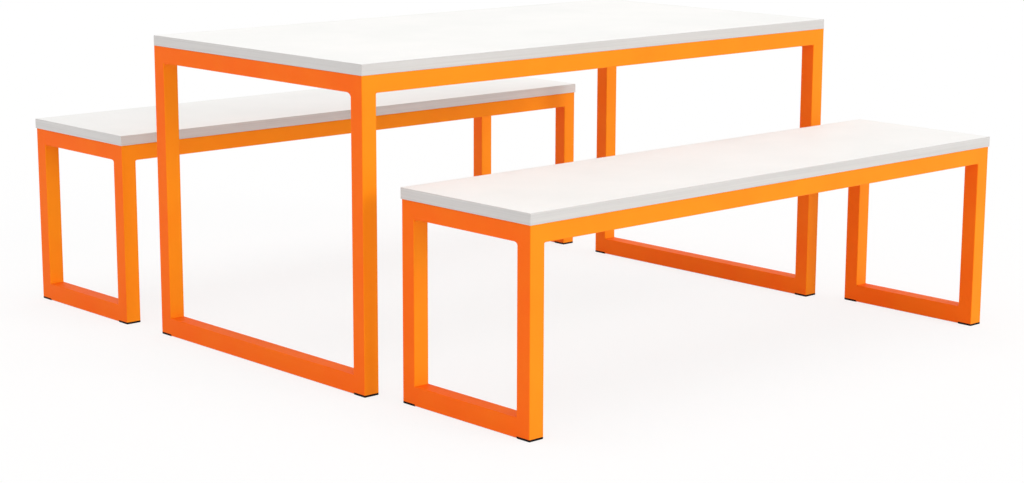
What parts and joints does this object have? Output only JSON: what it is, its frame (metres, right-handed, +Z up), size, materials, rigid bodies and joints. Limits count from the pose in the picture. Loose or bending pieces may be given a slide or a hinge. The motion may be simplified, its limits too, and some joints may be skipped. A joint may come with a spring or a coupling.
{
  "type": "canteen table with benches",
  "caption": "Fixed canteen table with free-standing benches: white boards on orange square-tube hoop frames with black feet",
  "frame": {"origin": "on the floor, at the middle of the box round the table and both benches", "axes": "+X along the table from its left end to its right end, -Y the front bench's side, +Z up"},
  "size_m": [1.62, 1.84, 0.74],
  "materials": {
    "orange_powder_coated_steel": "smooth semi-gloss orange powder coat",
    "white_melamine_board": "wood-based board faced with matt white melamine",
    "grey_abs_edging": "satin pale grey ABS edge strip",
    "black_plastic": "moulded black polyethylene, satin",
    "zinc_plated_steel": "bright zinc plate"
  },
  "bodies": {
    "table": {"table_board": "white_melamine_board", "table_edge_banding": "grey_abs_edging", "table_leg_front_left": "orange_powder_coated_steel", "table_foot_front_left": "black_plastic", "table_leg_front_right": "orange_powder_coated_steel", "table_foot_front_right": "black_plastic", "table_leg_rear_left": "orange_powder_coated_steel", "table_foot_rear_left": "black_plastic", "table_leg_rear_right": "orange_powder_coated_steel", "table_foot_rear_right": "black_plastic", "table_end_rail_left": "orange_powder_coated_steel", "table_floor_rail_left": "orange_powder_coated_steel", "table_end_rail_right": "orange_powder_coated_steel", "table_floor_rail_right": "orange_powder_coated_steel", "table_side_rail_front": "orange_powder_coated_steel", "table_side_rail_rear": "orange_powder_coated_steel", "table_fixing_tabs": "orange_powder_coated_steel", "table_screws": "zinc_plated_steel", "table_welds": "orange_powder_coated_steel"},
    "front_bench": {"front_bench_board": "white_melamine_board", "front_bench_edge_banding": "grey_abs_edging", "front_bench_leg_front_left": "orange_powder_coated_steel", "front_bench_foot_front_left": "black_plastic", "front_bench_leg_front_right": "orange_powder_coated_steel", "front_bench_foot_front_right": "black_plastic", "front_bench_leg_rear_left": "orange_powder_coated_steel", "front_bench_foot_rear_left": "black_plastic", "front_bench_leg_rear_right": "orange_powder_coated_steel", "front_bench_foot_rear_right": "black_plastic", "front_bench_end_rail_left": "orange_powder_coated_steel", "front_bench_floor_rail_left": "orange_powder_coated_steel", "front_bench_end_rail_right": "orange_powder_coated_steel", "front_bench_floor_rail_right": "orange_powder_coated_steel", "front_bench_side_rail_front": "orange_powder_coated_steel", "front_bench_side_rail_rear": "orange_powder_coated_steel", "front_bench_fixing_tabs": "orange_powder_coated_steel", "front_bench_screws": "zinc_plated_steel", "front_bench_welds": "orange_powder_coated_steel"},
    "rear_bench": {"rear_bench_board": "white_melamine_board", "rear_bench_edge_banding": "grey_abs_edging", "rear_bench_leg_front_left": "orange_powder_coated_steel", "rear_bench_foot_front_left": "black_plastic", "rear_bench_leg_front_right": "orange_powder_coated_steel", "rear_bench_foot_front_right": "black_plastic", "rear_bench_leg_rear_left": "orange_powder_coated_steel", "rear_bench_foot_rear_left": "black_plastic", "rear_bench_leg_rear_right": "orange_powder_coated_steel", "rear_bench_foot_rear_right": "black_plastic", "rear_bench_end_rail_left": "orange_powder_coated_steel", "rear_bench_floor_rail_left": "orange_powder_coated_steel", "rear_bench_end_rail_right": "orange_powder_coated_steel", "rear_bench_floor_rail_right": "orange_powder_coated_steel", "rear_bench_side_rail_front": "orange_powder_coated_steel", "rear_bench_side_rail_rear": "orange_powder_coated_steel", "rear_bench_fixing_tabs": "orange_powder_coated_steel", "rear_bench_screws": "zinc_plated_steel", "rear_bench_welds": "orange_powder_coated_steel"}
  },
  "joints": [
    {"name": "front_bench_slide", "type": "slide", "parent": "table", "child": "front_bench", "axis": [0, -1, 0], "range_m": [-0.083, 0.4]},
    {"name": "rear_bench_slide", "type": "slide", "parent": "table", "child": "rear_bench", "axis": [0, 1, 0], "range_m": [-0.133, 0.4]}
  ]
}
